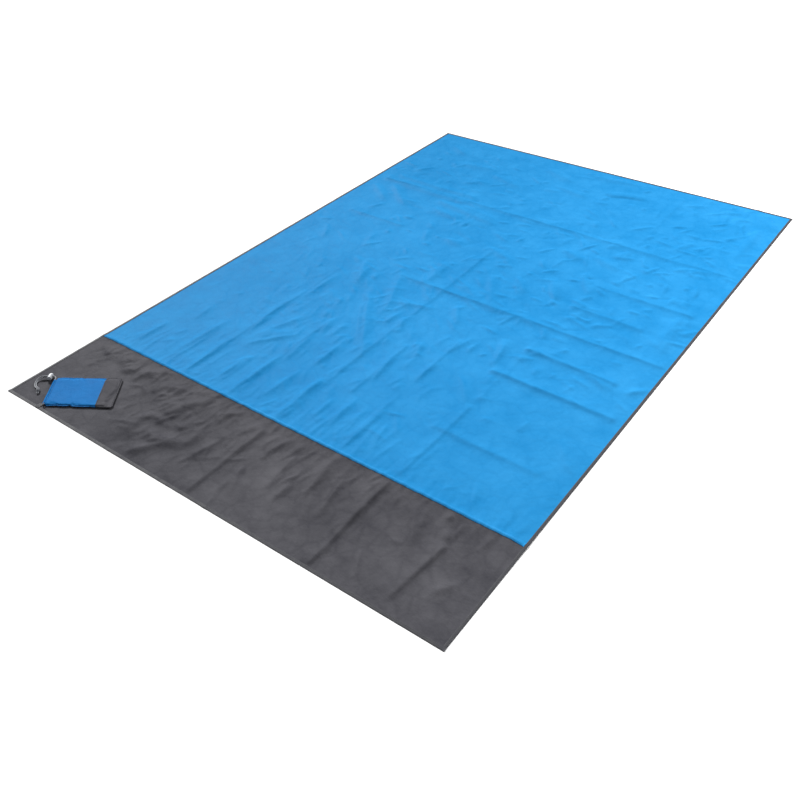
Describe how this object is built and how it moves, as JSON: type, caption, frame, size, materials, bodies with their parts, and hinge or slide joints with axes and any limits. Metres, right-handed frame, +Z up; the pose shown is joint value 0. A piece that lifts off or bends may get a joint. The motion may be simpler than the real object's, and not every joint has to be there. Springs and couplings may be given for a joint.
{
  "type": "camp blanket",
  "caption": "Pocket camp blanket laid flat: blue and grey ground sheet with bound edges, fold lines and a flat drawstring pouch sewn to one corner.",
  "frame": {"origin": "on the ground under the middle of the spread sheet", "axes": "+X across the sheet, to the right seen from the grey end; +Y along the sheet from the grey end to the far blue end; +Z up out of the ground"},
  "size_m": [1.4, 2, 0.0137],
  "materials": {
    "blue_cloth": "satin coated nylon",
    "grey_cloth": "satin coated nylon",
    "binding_tape": "woven tape",
    "cord": "braided polyester",
    "patch": "matte",
    "lock_plastic": "satin",
    "spring_steel": "bright"
  },
  "bodies": {
    "sheet_near": {"grey_panel": "grey_cloth", "blue_panel_near": "blue_cloth", "panel_seam": "blue_cloth", "binding_near_end": "binding_tape", "binding_left_near": "binding_tape", "binding_right_near": "binding_tape"},
    "sheet_middle": {"blue_panel_middle": "blue_cloth", "binding_left_middle": "binding_tape", "binding_right_middle": "binding_tape"},
    "sheet_far": {"blue_panel_far": "blue_cloth", "binding_left_far": "binding_tape", "binding_right_far": "binding_tape", "binding_far_end": "binding_tape"},
    "tether": {"pouch_tether": "binding_tape"},
    "pouch": {"pouch_front_panel": "blue_cloth", "pouch_back_panel": "blue_cloth", "pouch_base_front": "grey_cloth", "pouch_base_back": "grey_cloth", "pouch_side_seam_outer": "blue_cloth", "pouch_side_seam_hem": "blue_cloth", "pouch_bottom_seam": "grey_cloth", "mouth_channel_front": "blue_cloth", "mouth_channel_back": "blue_cloth", "drawcord_in_channels": "cord", "drawcord_upper_strand": "cord", "drawcord_lower_strand": "cord", "drawcord_knot": "cord", "size_patch": "patch"},
    "cord_lock": {"lock_body": "lock_plastic", "lock_spring": "spring_steel"},
    "plunger": {"lock_plunger": "lock_plastic"}
  },
  "joints": [
    {"name": "fold_middle", "type": "hinge", "parent": "sheet_near", "child": "sheet_middle", "pos_m": [0, 0, 0.01], "axis": [1, 0, 0], "range_deg": [0, 179.5]},
    {"name": "fold_quarter", "type": "hinge", "parent": "sheet_middle", "child": "sheet_far", "pos_m": [0, 0.5, 0.005], "axis": [1, 0, 0], "range_deg": [0, 179.5]},
    {"name": "pouch_flip", "type": "hinge", "parent": "sheet_near", "child": "tether", "pos_m": [-0.5755, -0.998, 0.0072], "axis": [1, 0, 0], "range_deg": [0, 179.5]},
    {"name": "pouch_swivel", "type": "hinge", "parent": "tether", "child": "pouch", "pos_m": [-0.5755, -0.9905, 0.0018], "axis": [0, 0, 1], "range_deg": [-30, 30]},
    {"name": "lock_slide", "type": "slide", "parent": "pouch", "child": "cord_lock", "axis": [-0.8526, -0.5225, 0], "range_m": [0, 0.01]},
    {"name": "plunger_press", "type": "slide", "parent": "cord_lock", "child": "plunger", "axis": [0.5225, -0.8526, 0], "range_m": [0, 0.0025], "stiffness_N_per_m": 600, "springref_m": -0.003, "deforming": ["lock_spring"]}
  ]
}
